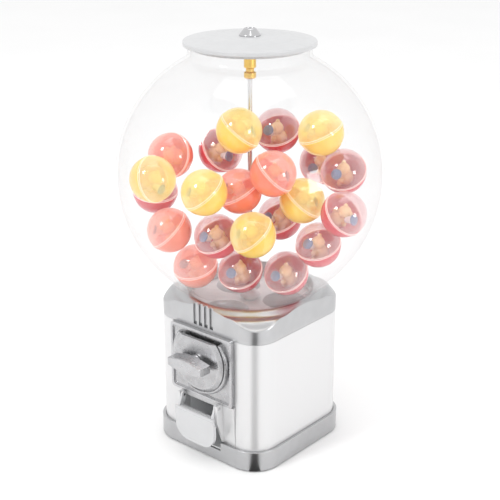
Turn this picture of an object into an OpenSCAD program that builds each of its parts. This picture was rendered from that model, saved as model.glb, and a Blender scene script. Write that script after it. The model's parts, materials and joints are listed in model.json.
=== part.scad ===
// Tabletop capsule vending machine: clear globe on a square body, with a
// turn-handle coin mechanism, a three-pocket dispensing wheel, a sloping
// prize chute and a flip-up prize flap.
// X runs right along the front, Y to the back, Z up. The origin is the
// centre of the footprint, where the feet stand.

/* [Body] */
// Outside width and depth of the body
body_w = 128; // [120:1:160]
// Radius of the body's upright corners
body_corner_r = 24; // [20:1:28]
// Sheet thickness of the body shell
shell_wall = 2.2; // [1.6:0.1:3]
// Height of the shell that shows between base and collar
shell_h = 105; // [100:1:140]
// Height of the base tray, from its underside
base_h = 18.8; // [16:0.2:26]
// How far the base tray stands out beyond the shell
base_flare = 3.3; // [1.8:0.1:5]
// Thickness of the base tray's floor
base_floor = 2.5; // [2:0.1:4]
// How far the feet lift the base tray
foot_drop = 1.2; // [0.8:0.1:4]
// Diameter of each rubber foot
foot_d = 16; // [10:1:18]
// Diameter of the four long tie bolts
tie_bolt_d = 4; // [3:0.5:5]

/* [Collar] */
// Height of the collar that carries the globe
collar_h = 25; // [24:1:34]
// Thickness of the collar's wall
collar_wall = 2.5; // [2:0.1:3.5]
// Number of vertical flutes on the collar's front
flute_count = 4; // [2:1:6]
// Width of one flute
flute_w = 4; // [2:0.5:5]
// Spacing of the flutes
flute_pitch = 6.5; // [5.5:0.5:8]
// Depth of the flutes
flute_depth = 1.4; // [0.8:0.1:1.6]

/* [Globe] */
// Outside diameter of the globe
globe_d = 240; // [236:1:300]
// Wall of the globe
globe_wall = 2.5; // [2:0.1:4]
// Outside diameter of the globe's lower neck
seat_d = 116; // [112:1:117]
// Outside diameter of the globe's upper mouth
mouth_d = 108; // [90:1:116]
// Height of the upper neck that stands above the sphere
mouth_h = 9.8; // [8:0.1:14]

/* [Lid] */
// Diameter of the lid
lid_d = 115.8; // [112:0.1:124]
// Height of the lid's rim
lid_rim_h = 4.3; // [3:0.1:8]
// Rise of the lid's middle above its rim
lid_rise = 3.6; // [1:0.1:6]
// Diameter of the lock's flange
lock_d = 19; // [14:0.5:24]
// How far the lid lifts off
lid_travel = 65; // [40:1:90]

/* [Rod] */
// Diameter of the centre rod
rod_d = 4; // [3:0.5:5]
// Diameter of the brass coupling on the rod
coupling_d = 10.6; // [9:0.1:14]
// Length of the brass coupling
coupling_l = 19; // [14:0.5:22]

/* [Capsules] */
// Outside diameter of a capsule
capsule_d = 40; // [30:0.5:40]
// Wall of a capsule
capsule_wall = 1.2; // [0.8:0.1:2]

/* [Coin mechanism] */
// Width of the coin plate
plate_w = 74; // [72:1:76]
// Height of the coin plate
plate_h = 65.5; // [62:0.5:70]
// Outside diameter of the dial's rim
dial_d = 60.6; // [56:0.2:62]
// Height of the flat on top of the dial, above its centre
dial_flat = 21.3; // [18:0.1:24]
// Length of the turn handle
handle_l = 40.5; // [32:0.5:50]
// Height of the turn handle at its middle
handle_h = 14; // [10:0.5:18]
// Height of the turn handle at its tips
handle_tip_h = 7.4; // [5:0.2:10]
// Depth of the turn handle, front to back
handle_depth = 12.5; // [9:0.5:16]
// Diameter of the largest coin that fits
coin_d = 24.5; // [18:0.5:25]
// Thickness of the coin slot
coin_slot = 3.4; // [2.6:0.1:3.6]
// Diameter of the drive shaft
shaft_d = 8; // [6:0.5:9]
// Teeth on the drive gear
gear_teeth = 12; // [12:12:12]

/* [Prize door] */
// Width of the flap
flap_w = 47.5; // [46:0.5:52]
// Height of the flap below its lip
flap_h = 30.5; // [28:0.5:34]
// Thickness of the flap
flap_t = 1.8; // [1.4:0.1:2.4]
// Lean of the flap from the vertical
flap_lean = 2; // [0:1:14]
// Fall of the chute's floor
chute_fall = 11; // [9:0.5:14]

/* [Hidden] */
fit = 0.3;            // gap between fixed neighbours
run = 0.05;           // radial clearance of a running fit
slim = 0.02;          // radial clearance of a tight fit
e = 0.5;              // how far a cutter runs past a face

// Levels, from the ground up
base_z = foot_drop;
floor_z = base_z + base_floor;
base_top = base_z + base_h;
shell_top = base_top + shell_h;
collar_top = shell_top + collar_h;

// Plan sizes of the body
half = body_w / 2;
base_half = half + base_flare;
base_r = body_corner_r + base_flare;
in_half = half - shell_wall;
in_r = body_corner_r - shell_wall;
bolt_xy = half - body_corner_r + 9.5;
bolt_r = tie_bolt_d / 2;
post_r = bolt_r + 3;
bolt_head_r = bolt_r + 1.6;
bolt_head_h = 2.4;
pad_top = floor_z + 4.3;
foot_xy = half - body_corner_r;
foot_t = foot_drop + 0.8;

// Globe
globe_r = globe_d / 2;
seat_r = seat_d / 2;
mouth_r = mouth_d / 2;
globe_zc = collar_top - 0.3 + sqrt(globe_r * globe_r - seat_r * seat_r);
neck_z = globe_zc + sqrt(globe_r * globe_r - mouth_r * mouth_r);
globe_top = neck_z + mouth_h;

// Dispensing wheel and the hopper round it
chamber_out = in_half - 1.8;
chamber_wall = 1.4;
chamber_r = chamber_out - chamber_wall;
wheel_r = chamber_r - 0.4;
gear_face = 3.5;
crown_in = wheel_r - gear_face;
crown_r = wheel_r - gear_face / 2;
pocket_count = 3;
crown_teeth = gear_teeth * pocket_count;
gear_pitch_r = crown_r * gear_teeth / crown_teeth;
tooth_out = 1.2;
tooth_in = 1.8;
tooth_w = 4.2;
pocket_r = capsule_d / 2 + 0.9;
pocket_at = crown_in - pocket_r - 0.4;
outlet_r = pocket_r + 0.4;
hub_r = 10;
spindle_r = 6;

// Dial and mechanism
mesh_z = shell_top - 8;
dial_z = mesh_z - gear_pitch_r;
dial_r = dial_d / 2;
hopper_t = 2;
hopper_z = mesh_z - tooth_out - 0.4 - hopper_t;
hopper_top = hopper_z + hopper_t;
wheel_z = hopper_top + 0.4;
crown_root_z = mesh_z + tooth_out + 0.4;
wheel_top = crown_root_z + 17.4;
ledge_z = wheel_top + 3;
ledge_t = 1.8;
gasket_t = 1.3;

// Depth of the mechanism's layers, as distances in front of the body's centre
panel_back = in_half - 1.4;
panel_bulge = 2.8;
plate_back = half + 0.2;
plate_face = plate_back + 2.6;
plate_rim = plate_face + 1.4;
carrier_back = plate_face + 0.2;
carrier_face = carrier_back + coin_slot;
ring_face = carrier_face + 0.3;
dial_back = carrier_face;
dial_face = dial_back + 3.8;
handle_back = dial_face + 3.6;
handle_face = handle_back + handle_depth;
plate_z = shell_top + 0.5 - plate_h;
ring_r = dial_r + 0.5;
ring_wall = 2.2;
shaft_r = shaft_d / 2;
shaft_tip_r = shaft_r - 1;
bush_r = shaft_r + 1.5;
gear_front = crown_r + gear_face / 2 - 0.2;
gear_back = gear_front - gear_face;
ratchet_front = plate_back - 0.6;
ratchet_t = 2.2;
ratchet_teeth = 12;
ratchet_r = 13;
ratchet_root = 10.6;
pawl_x = 21;
pawl_z = dial_z - 6;
window_half = 29;
window_low = plate_z + 2.5;
window_high = hopper_z + 4.8;
bracket_half = 27;
bracket_back = gear_back - 2.2;
bracket_t = 2;
bracket_screw_z = dial_z + 8;
bracket_screw_x = 22.5;
screw_r = 1.5;
coin_exit_half = coin_d / 2 + 1.2;
plate_border = 3.4;
carrier_r = min(dial_r - 0.3, plate_z + plate_h - plate_border - dial_z - 0.3);

// Prize mouth, chute and flap
mouth_half = capsule_d / 2 + 1.75;
chute_wall = 1.5;
chute_half = mouth_half + chute_wall;
mouth_floor = base_z + 12.3;
mouth_lintel = mouth_floor + capsule_d + 1.7;
shaft_front = pocket_at - outlet_r - 1.5;
shaft_rear = pocket_at + outlet_r + 0.8;
chute_front = panel_back - 0.4;
roof_h = capsule_d + 3;
cheek_t = 2.5;
cheek_out = mouth_half + cheek_t;
cheek_front = half + 9.6;
pin_r = 1.5;
pin_y = -(half + 6.5);
pin_z = mouth_lintel + 1.8;
eye_r = 3;
arm_out = mouth_half - 0.4;
arm_t = 2;
lip_y = pin_y - 8;
lip_z = pin_z - 10.5;
flap_corner = 15;
rim_t = 1.6;

// Top of the machine
lid_z = globe_top + 0.2;
lid_r = lid_d / 2;
lid_rim_top = lid_z + lid_rim_h;
lid_top = lid_rim_top + lid_rise;
lid_wall = 2.6;
locate_r = mouth_r - globe_wall - 1;
lock_r = lock_d / 2;
lock_body_r = lock_r - 1.6;
barrel_r = 3.8;
tail_r = 2.9;
lock_h = 6.4;
rod_r = rod_d / 2;
coupling_z = neck_z - coupling_l;
coupling_step = coupling_z + coupling_l * 0.5;
rod_low = hopper_z - 8;

// Capsule heap: colour, then place as a share in percent of the free
// radius inside the globe (right, back, up from the globe's centre), then
// the bearing and tip of the clear half. Chosen by hand, one line a capsule.
heap = [
    ["yellow", 7, -23, 48, 35, 40],
    ["red", 13, 23, 40, -75, 30],
    ["yellow", 60, 27, 45, -135, 25],
    ["red", -25, -12, 22, 0, 55],
    ["salmon", -50, -52, 21, -85, 70],
    ["yellow", -34, -91, 11, 10, 75],
    ["red", -71, -52, -17, -35, 15],
    ["yellow", 3, -65, 0, -125, 40],
    ["salmon", 7, -23, -8, -130, 30],
    ["salmon", 44, -20, 15, 30, 45],
    ["red", 34, 63, 5, -75, 55],
    ["red", 73, 45, 8, -70, 40],
    ["yellow", 54, 9, -15, 30, 40],
    ["red", 96, 15, -20, 0, 50],
    ["red", 21, 18, -41, -95, 30],
    ["salmon", -41, -65, -45, -130, 45],
    ["yellow", 38, -40, -38, -125, 40],
    ["red", -3, -43, -48, -95, 35],
    ["red", 71, 12, -54, -85, 25],
    ["salmon", -28, -45, -83, -90, 20],
    ["red", 8, -23, -85, -75, 35],
    ["red", 44, 0, -85, -85, 40]
];
capsule_r = capsule_d / 2;
heap_r = globe_r - globe_wall - capsule_r;
seam = 0.03;

// ---------------------------------------------------------------- helpers

// Square with round corners, given by half its width
module round_square(h, r) {
    square([2 * (h - r), 2 * h], center = true);
    square([2 * h, 2 * (h - r)], center = true);
    for (sx = [-1, 1], sy = [-1, 1])
        translate([sx * (h - r), sy * (h - r)]) circle(r, $fn = 96);
}

// Upright block with round corners
module round_block(h, r, z0, z1) {
    translate([0, 0, z0]) linear_extrude(z1 - z0) round_square(h, r);
}

// Upright round bar
module bar(r, z0, z1, fn = 96) {
    translate([0, 0, z0]) cylinder(r = r, h = z1 - z0, $fn = fn);
}

// Upright ring
module ring(r_out, r_in, z0, z1) {
    difference() {
        bar(r_out, z0, z1);
        bar(r_in, z0 - e, z1 + e);
    }
}

// Round bar along Y, from one distance in front of the centre to another
module nose(r, y0, y1, fn = 96) {
    translate([0, -y0, 0]) rotate([90, 0, 0]) cylinder(r = r, h = y1 - y0, $fn = fn);
}

// Round bar along X
module cross_bar(r, x0, x1, fn = 64) {
    translate([x0, 0, 0]) rotate([0, 90, 0]) cylinder(r = r, h = x1 - x0, $fn = fn);
}

// Outline drawn in Y and Z, extruded along X between -w and w
module side_profile(w, pts) {
    rotate([90, 0, 90]) translate([0, 0, -w]) linear_extrude(2 * w) polygon(pts);
}

// The same outline between two places along X
module side_slab(x0, x1, pts) {
    translate([x0, 0, 0]) rotate([90, 0, 90]) linear_extrude(x1 - x0) polygon(pts);
}

// Box from corner to corner
module block(a, b) {
    translate(a) cube(b - a);
}

module at_corners(d) {
    for (sx = [-1, 1], sy = [-1, 1]) translate([sx * d, sy * d, 0]) children();
}

// Things set about the dial's axis
module at_dial() {
    translate([0, 0, dial_z]) children();
}

function sweep(a0, a1, n) = [for (i = [0 : n]) a0 + (a1 - a0) * i / n];

// ------------------------------------------------------------- lower body

module rubber_feet() {
    color("dimgray") at_corners(foot_xy)
        difference() {
            bar(foot_d / 2, 0, foot_t);
            bar(foot_d / 2 - 5, -e, 0.5);
        }
}

module base_tray() {
    color("silver") difference() {
        union() {
            difference() {
                round_block(base_half, base_r, base_z, base_top);
                round_block(half + fit, body_corner_r + fit, floor_z, base_top + e);
            }
            intersection() {
                at_corners(bolt_xy) bar(post_r + 2, base_z + 1, pad_top);
                round_block(in_half - fit, in_r - fit, base_z, pad_top);
            }
        }
        at_corners(bolt_xy) {
            bar(bolt_r + fit, base_z - e, pad_top + e);
            bar(bolt_head_r + 0.5, base_z - e, pad_top - 2.2);
        }
        at_corners(foot_xy) bar(foot_d / 2 + 0.1, base_z - e, foot_t);
        block([-mouth_half - fit, -base_half - e, mouth_floor - 2],
              [mouth_half + fit, -half + 2, base_top + e]);
    }
}

module tie_bolts() {
    color("gainsboro") at_corners(bolt_xy) difference() {
        union() {
            bar(bolt_r, pad_top - 2.2, ledge_z - 5);
            bar(bolt_head_r, pad_top - 2.2 - bolt_head_h, pad_top - 2.2);
        }
        bar(1.5, pad_top - 2.2 - bolt_head_h - e, pad_top - 2.2 - 1, 6);
    }
}

module body_shell() {
    color("white") {
        difference() {
            round_block(half, body_corner_r, floor_z, shell_top);
            round_block(in_half, in_r, floor_z - e, shell_top + e);
            block([-plate_w / 2 - 0.7, -half - e, floor_z - e],
                  [plate_w / 2 + 0.7, -in_half + e, shell_top + e]);
        }
        for (a = [45 : 90 : 315]) difference() {
            intersection() {
                union() {
                    rotate(a) translate([bolt_xy * sqrt(2), 0, 0])
                        bar(post_r, pad_top, hopper_z);
                    rotate(a) block([bolt_xy * sqrt(2), -2, pad_top], [half * 2, 2, hopper_z]);
                }
                round_block(in_half + 0.5, in_r + 0.5, pad_top, hopper_z);
            }
            rotate(a) translate([bolt_xy * sqrt(2), 0, 0])
                bar(bolt_r + fit, pad_top - e, hopper_z + e);
        }
    }
}

// Shape of the panel seen from the side: flush at the base, standing
// proud under the coin plate
module front_panel() {
    w = plate_w / 2 + 0.5;
    top = shell_top - 0.3;
    low = floor_z + 0.3;
    color("white") difference() {
        union() {
            side_profile(w, [
                [-panel_back, low], [-half, low], [-half, base_top + 0.6],
                [-half - panel_bulge, plate_z - 0.2], [-half, plate_z - 0.2],
                [-half, top], [-panel_back, top]]);
            block([-w - 3.5, -in_half + fit, low], [w + 3.5, -panel_back, hopper_top + 3]);
            for (s = [-1, 1]) {
                x0 = s > 0 ? mouth_half : -cheek_out;
                side_slab(x0, x0 + cheek_t, [
                    [-panel_back, base_top + 1], [-half - 1.2, base_top + 1],
                    [-cheek_front, lip_z - 3], [-cheek_front, plate_z - 0.2],
                    [-panel_back, plate_z - 0.2]]);
            }
        }
        block([-mouth_half, -cheek_front - e, mouth_floor - 1.8],
              [mouth_half, -panel_back + 9, mouth_lintel]);
        block([-window_half, -half - e, window_low],
              [window_half, -panel_back + 9, window_high]);
        translate([0, pin_y, pin_z]) cross_bar(pin_r + slim, -cheek_out - e, cheek_out + e);
        for (p = plate_screw_places)
            translate([p[0], 0, p[1]]) nose(screw_r + 0.1, 0, half + e, 32);
    }
}

// ---------------------------------------------------------------- the flap

module flap_outline(inset) {
    w = flap_w / 2 - inset;
    r = flap_corner - inset;
    low = -flap_h + inset;
    translate([-w, low + r]) square([2 * w, flap_h - inset - r]);
    translate([-w + r, low]) square([2 * (w - r), flap_h - inset]);
    for (s = [-1, 1]) translate([s * (w - r), low + r]) circle(r, $fn = 96);
}

module prize_flap() {
    lip_r = 1.6;
    color("gainsboro") difference() {
        union() {
            translate([0, lip_y, lip_z]) rotate([flap_lean, 0, 0]) difference() {
                translate([0, flap_t + rim_t, 0]) rotate([90, 0, 0])
                    linear_extrude(flap_t + rim_t) flap_outline(0);
                translate([0, flap_t + rim_t + e, 0]) rotate([90, 0, 0])
                    linear_extrude(rim_t + e) flap_outline(rim_t);
                block([-flap_w, flap_t, -6], [flap_w, flap_t + rim_t + e, e]);
            }
            translate([0, lip_y + lip_r - 0.4, lip_z]) cross_bar(lip_r, -flap_w / 2 + 0.4, flap_w / 2 - 0.4);
            block([-arm_out, lip_y + lip_r, lip_z - 0.2], [arm_out, -cheek_front + 0.6, lip_z + 1.2]);
            for (x = [-arm_out + 3 : 2.2 : arm_out - 3])
                block([x - 0.4, lip_y + 3.2, lip_z + 0.9],
                      [x + 0.4, -cheek_front + 0.4, lip_z + 2.1]);
            for (s = [-1, 1]) {
                x0 = s > 0 ? arm_out - arm_t : -arm_out;
                side_slab(x0, x0 + arm_t, [
                    [pin_y - 2.4, pin_z + 0.4], [pin_y + 2.4, pin_z - 0.4],
                    [pin_y + 0.6, lip_z - 6], [lip_y + flap_t - 0.2 + 16 * tan(flap_lean), lip_z - 16],
                    [lip_y + flap_t - 0.2 + 6 * tan(flap_lean), lip_z - 6],
                    [lip_y + 1.2, lip_z + 0.4]]);
                translate([0, pin_y, pin_z]) cross_bar(eye_r, x0, x0 + arm_t);
            }
        }
        translate([0, pin_y, pin_z]) cross_bar(pin_r + run, -arm_out - e, arm_out + e);
    }
}

module flap_pins() {
    color("gainsboro") for (s = [-1, 1]) {
        x0 = s > 0 ? arm_out - arm_t - 0.6 : -cheek_out;
        translate([0, pin_y, pin_z]) cross_bar(pin_r, x0, x0 + cheek_out - arm_out + arm_t + 0.6);
    }
}

// -------------------------------------------------------- coin mechanism

plate_screw_places = [for (sx = [-1, 1], z = [plate_z + 6, shell_top - 5.5])
                      [sx * (plate_w / 2 - 4.5), z]];

module plate_outline(inset) {
    w = plate_w / 2 - inset;
    r = 3;
    z0 = plate_z + inset;
    z1 = plate_z + plate_h - inset;
    translate([-w + r, z0]) square([2 * (w - r), z1 - z0]);
    translate([-w, z0 + r]) square([2 * w, z1 - z0 - 2 * r]);
    for (s = [-1, 1], z = [z0 + r, z1 - r]) translate([s * (w - r), z]) circle(r, $fn = 48);
}

module plate_slab(inset, y0, y1) {
    translate([0, -y0, 0]) rotate([90, 0, 0]) linear_extrude(y1 - y0) plate_outline(inset);
}

module coin_plate() {
    ring_out = ring_r + ring_wall;
    color("darkgray") difference() {
        union() {
            plate_slab(0, plate_back, plate_face);
            difference() {
                plate_slab(0, plate_face - 0.2, plate_rim);
                plate_slab(plate_border, plate_face - e, plate_rim + e);
                plate_slab(2.4, plate_rim - 0.8, plate_rim + e);
            }
            // dial housing: a slightly coned ring, open at the top
            difference() {
                at_dial() rotate([90, 0, 0]) rotate_extrude($fn = 128) polygon([
                    [ring_r, plate_face - 0.2], [ring_out + 0.6, plate_face - 0.2],
                    [ring_out, ring_face - 0.8], [ring_out - 0.8, ring_face], [ring_r, ring_face]]);
                block([-ring_out - 2, -ring_face - e, dial_z + dial_flat - 0.6],
                      [ring_out + 2, -plate_face + 0.1, dial_z + ring_out + 2]);
            }
            // generic scale marks on the right of the housing
            for (i = [0 : 3]) at_dial() rotate([0, -12 - i * 7, 0])
                block([ring_r + 0.5, -ring_face - 0.35, -0.4],
                      [ring_out - 1.1, -ring_face + 0.3, 0.4]);
            at_dial() nose(bush_r + 2, plate_back - 0.4, plate_face);
        }
        block([-ring_out - 2, -ring_face - e, plate_z + plate_h],
              [ring_out + 2, -plate_back + e, dial_z + ring_out + 2]);
        block([-coin_exit_half, -plate_face - e, dial_z - ring_r + 0.8],
              [coin_exit_half, -plate_back + 1, dial_z - bush_r - 2.4]);
        at_dial() nose(bush_r + slim, plate_back - 1, plate_face + e);
        for (p = plate_screw_places) translate([p[0], 0, p[1]])
            nose(screw_r + slim, plate_back - e, plate_back + 2, 32);
        for (s = [-1, 1]) translate([s * bracket_screw_x, 0, bracket_screw_z])
            nose(screw_r + slim, plate_back - e, plate_back + 2, 32);
        translate([pawl_x, 0, pawl_z]) nose(screw_r + slim, plate_back - e, plate_back + 2, 32);
    }
}

module plate_screws() {
    color("gainsboro") for (p = plate_screw_places) translate([p[0], 0, p[1]]) {
        nose(screw_r, panel_back - 0.2, plate_back + 1.8, 32);
        nose(screw_r + 1.4, panel_back - 1.6, panel_back, 32);
    }
}

module dial_bush() {
    color("goldenrod") at_dial() difference() {
        nose(bush_r, plate_back - 0.5, plate_face);
        nose(shaft_r + run, plate_back - 2, plate_face + e);
    }
}

// Everything on the dial's shaft that has the flat on top
module flat_cut(y0, y1) {
    difference() {
        children();
        block([-dial_r - 2, -y1 - e, dial_flat], [dial_r + 2, -y0 + e, dial_r + 2]);
    }
}

module coin_dial() {
    color("silver") at_dial() difference() {
        flat_cut(dial_back, dial_face + 2) rotate([90, 0, 0]) rotate_extrude($fn = 128) polygon([
            [0, dial_back + 0.1], [dial_r - 0.5, dial_back + 0.1], [dial_r, dial_back + 0.6],
            [dial_r, dial_back + 1.3], [dial_r - 3, dial_face - 0.3], [dial_r - 3.8, dial_face],
            [dial_r - 5.6, dial_face], [dial_r - 6.2, dial_face - 0.3], [0, dial_face - 0.3]]);
        nose(shaft_r - 0.5 + slim, dial_back - e, dial_face + e);
    }
}

function arch(h, tip, l, n) = [for (i = [0 : n])
    let (x = -l / 2 + l * i / n) [x, tip / 2 + (h - tip) / 2 * (1 - pow(2 * abs(x) / l, 1.35))]];

module handle_outline(inset) {
    top = arch(handle_h - 2 * inset, handle_tip_h - 2 * inset, handle_l - 2 * inset, 16);
    polygon(concat(top, [for (i = [16 : -1 : 0]) [top[i][0], -top[i][1]]]));
}

module turn_handle() {
    bevel = 0.8;
    color("silver") at_dial() difference() {
        union() {
            translate([0, -handle_back, 0]) rotate([90, 0, 0])
                linear_extrude(handle_depth - bevel) handle_outline(0);
            translate([0, -handle_face + bevel + 0.01, 0]) rotate([90, 0, 0])
                linear_extrude(bevel) handle_outline(bevel / 2);
            nose(shaft_r + 2.5, dial_face, handle_back + 1);
            nose(shaft_r - 0.5, dial_back + 0.2, handle_back);
        }
        nose(1.5, dial_back - 1, handle_back + 6, 32);
    }
}

// Hidden stud that ties the handle to the drive shaft
module handle_stud() {
    color("gainsboro") at_dial() nose(1.5 - slim, carrier_face - 7.5, handle_back + 5.5, 32);
}

module coin_carrier() {
    slot_r = coin_d / 2 + 0.75;
    slot_z = shaft_r + 0.6 + slot_r;
    color("dimgray") at_dial() difference() {
        flat_cut(carrier_back, carrier_face) nose(carrier_r, carrier_back, carrier_face);
        translate([0, 0, slot_z]) nose(slot_r, carrier_back - e, carrier_face + e);
        block([-slot_r, -carrier_face - e, slot_z], [slot_r, -carrier_back + e, dial_r]);
        nose(shaft_r + slim, carrier_back - e, carrier_face + e);
    }
}

module drive_shaft() {
    end = bracket_back - bracket_t - 1.2;
    color("gainsboro") at_dial() difference() {
        union() {
            nose(shaft_r, gear_back - 1, carrier_face);
            nose(shaft_tip_r, end, gear_back);
        }
        nose(1.5, carrier_face - 8, carrier_face + e, 32);
        difference() {
            nose(shaft_tip_r + e, bracket_back - bracket_t - 0.9, bracket_back - bracket_t - 0.3);
            nose(shaft_tip_r - 0.6, end - e, bracket_back);
        }
    }
}

module ratchet_wheel() {
    step = 360 / ratchet_teeth;
    pts = [for (i = [0 : ratchet_teeth - 1]) for (p = [[ratchet_r, 0], [ratchet_root, 3]])
           [p[0] * cos(i * step + p[1]), p[0] * sin(i * step + p[1])]];
    color("darkgray") at_dial() difference() {
        translate([0, -ratchet_front + ratchet_t, 0]) rotate([90, 0, 0])
            linear_extrude(ratchet_t) polygon(pts);
        nose(shaft_r + slim, ratchet_front - ratchet_t - e, ratchet_front + e);
    }
}

module drive_gear() {
    color("ivory") at_dial() difference() {
        union() {
            nose(gear_pitch_r - tooth_in, gear_back, gear_front);
            nose(shaft_r + 4, gear_back - 0.6, gear_front + 0.8);
            for (i = [0 : gear_teeth - 1]) rotate([0, i * 360 / gear_teeth, 0])
                translate([0, -gear_back, 0]) rotate([90, 0, 0]) linear_extrude(gear_face)
                    polygon([[-2.7, gear_pitch_r - tooth_in - 1], [2.7, gear_pitch_r - tooth_in - 1],
                             [tooth_w / 2, gear_pitch_r], [1.5, gear_pitch_r + tooth_out],
                             [-1.5, gear_pitch_r + tooth_out], [-tooth_w / 2, gear_pitch_r]]);
        }
        nose(shaft_r + slim, gear_back - 1 - e, gear_front + 1 + e);
        for (i = [0 : 5]) rotate([0, 30 + i * 60, 0]) translate([0, 0, 12])
            nose(2.2, gear_back - 1, gear_front + 1, 32);
    }
}

module shaft_clip() {
    y = bracket_back - bracket_t - 0.85;
    color("gainsboro") at_dial() difference() {
        nose(shaft_tip_r + 2, y, y + 0.5);
        nose(shaft_tip_r - 0.6 + slim, y - e, y + 1);
        block([-1.6, -y - 1, -shaft_tip_r - 3], [1.6, -y + 1, 0]);
    }
}

module ratchet_pawl() {
    y0 = ratchet_front - ratchet_t + 0.2;
    t = ratchet_t - 0.4;
    tip = [(ratchet_r + 0.6) * cos(55), -(ratchet_r + 0.6) * sin(55)];
    hinge = [pawl_x, pawl_z - dial_z];
    dir = (tip - hinge) / norm(tip - hinge);
    up = [dir[1], -dir[0]];
    color("darkgray") at_dial() difference() {
        union() {
            translate([hinge[0], 0, hinge[1]]) nose(screw_r + 1.7, y0, y0 + t, 48);
            translate([0, -y0, 0]) rotate([90, 0, 0]) linear_extrude(t)
                polygon([hinge + up * 2, tip + up * 0.3, tip - up * 0.9, hinge - up * 2.2]);
            translate([0, -y0, 0]) rotate([90, 0, 0]) linear_extrude(t)
                polygon([hinge + up * 2, hinge - up * 2, hinge - dir * 7 - up, hinge - dir * 7 + up]);
        }
        translate([hinge[0], 0, hinge[1]]) nose(screw_r + run, y0 - e, y0 + t + e, 48);
    }
}

module pawl_pin() {
    color("gainsboro") translate([pawl_x, 0, pawl_z]) {
        nose(screw_r, ratchet_front - ratchet_t - 0.4, plate_back + 1.8, 48);
        nose(screw_r + 1.2, ratchet_front - ratchet_t - 1.2, ratchet_front - ratchet_t - 0.3, 48);
    }
}

// Leaf spring that hangs from the bracket and presses the pawl's tail down
module pawl_spring() {
    y0 = ratchet_front - ratchet_t + 0.4;
    top = bracket_screw_z - 4.05;
    tail = pawl_z + 3.8;
    color("gainsboro") translate([0, -y0, 0]) rotate([90, 0, 0]) linear_extrude(1.2)
        polygon([[bracket_half - 2.4, top], [bracket_half - 1.6, top],
                 [bracket_half + 0.1, tail], [bracket_half - 0.5, tail]]);
}

// Bracket behind the gear, holding the shaft's far end
module mech_bracket() {
    color("darkgray") difference() {
        union() {
            for (s = [-1, 1]) {
                x0 = s > 0 ? bracket_half - 2 : -bracket_half;
                block([x0, -plate_back + 0.05, bracket_screw_z - 4],
                      [x0 + 2, -bracket_back + bracket_t, bracket_screw_z + 4]);
                x1 = s > 0 ? bracket_screw_x - 3.2 : -bracket_half;
                block([x1, -plate_back + 0.05, bracket_screw_z - 4],
                      [x1 + bracket_half - bracket_screw_x + 3.2, -plate_back + 1.4, bracket_screw_z + 4]);
            }
            block([-bracket_half, -bracket_back, bracket_screw_z - 4],
                  [bracket_half, -bracket_back + bracket_t, bracket_screw_z + 4]);
            at_dial() nose(shaft_tip_r + 5, bracket_back - bracket_t, bracket_back);
        }
        at_dial() nose(shaft_tip_r + run, bracket_back - bracket_t - e, bracket_back + e);
        for (s = [-1, 1]) translate([s * bracket_screw_x, 0, bracket_screw_z]) {
            nose(screw_r + 0.1, plate_back - 3, plate_back + 1, 32);
            nose(screw_r + 1.8, bracket_back - 3, bracket_back + 1, 32);
        }
    }
}

module bracket_screws() {
    color("gainsboro") for (s = [-1, 1]) translate([s * bracket_screw_x, 0, bracket_screw_z]) {
        nose(screw_r, plate_back - 1.5, plate_back + 1.8, 32);
        nose(screw_r + 0.9, plate_back - 2.8, plate_back - 1.45, 32);
    }
}

// Wedge on the sill of the coin window that rolls coins to the right
module coin_guide() {
    z = window_low + 0.05;
    front = half - 0.2;
    color("white") {
        translate([0, -panel_back + 7, 0]) rotate([90, 0, 0]) linear_extrude(front - panel_back + 7)
            polygon([[-17, z], [19, z], [19, z + 1.2], [-17, z + 6]]);
        block([-16, -panel_back + 0.05, z - 2.4], [16, -panel_back + 1.5, z + 0.5]);
    }
}

// ------------------------------------------------- hopper, wheel and chute

module hopper() {
    color("whitesmoke") difference() {
        union() {
            intersection() {
                round_block(in_half - 0.4, in_r - 0.4, hopper_z, hopper_top);
                block([-half, -panel_back + fit, hopper_z], [half, half, hopper_top]);
            }
            ring(chamber_out, chamber_r, hopper_z + 0.5, ledge_z - fit);
            bar(spindle_r, hopper_z, wheel_top + 1.6);
            bar(spindle_r + 3, hopper_z, wheel_z - 0.1);
        }
        bar(rod_r + 0.1, hopper_z - e, wheel_top + 3);
        translate([0, pocket_at, 0]) bar(outlet_r, hopper_z - e, wheel_z + 1);
        block([-15, -chamber_out - e, hopper_z - e], [15, -gear_back + fit, crown_root_z + 1]);
        at_corners(bolt_xy) bar(bolt_r + fit, hopper_z - e, hopper_top + e);
        for (s = [-1, 1]) translate([s * (chute_half + 4), pocket_at, 0])
            bar(screw_r + slim, hopper_z - e, hopper_top + e, 32);
    }
}

function chute_floor(y) = mouth_floor + (y + half + 2) * tan(chute_fall);

module prize_chute() {
    f = -chute_front;
    top = hopper_z - 0.1;
    color("whitesmoke") difference() {
        union() {
            side_profile(chute_half, [
                [f, chute_floor(f) - chute_wall], [shaft_rear + chute_wall, chute_floor(shaft_rear) - chute_wall],
                [shaft_rear + chute_wall, top], [shaft_front - chute_wall, top],
                [shaft_front - chute_wall, chute_floor(shaft_front) + roof_h + chute_wall],
                [f, chute_floor(f) + roof_h + chute_wall]]);
            side_profile(mouth_half - fit, [
                [-half - 2, mouth_floor - chute_wall], [f + 1, chute_floor(f + 1) - chute_wall],
                [f + 1, chute_floor(f + 1)], [-half - 2, mouth_floor]]);
            block([-chute_half - 8, shaft_front - chute_wall, top - chute_wall],
                  [chute_half + 8, shaft_rear + chute_wall, top]);
        }
        side_profile(mouth_half, [
            [f - e, chute_floor(f - e)], [shaft_rear, chute_floor(shaft_rear)],
            [shaft_rear, top + e], [shaft_front, top + e],
            [shaft_front, chute_floor(shaft_front) + roof_h], [f - e, chute_floor(f - e) + roof_h]]);
        for (s = [-1, 1]) translate([s * (chute_half + 4), pocket_at, 0])
            bar(screw_r + 0.1, top - chute_wall - e, top + e, 32);
    }
}

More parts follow.
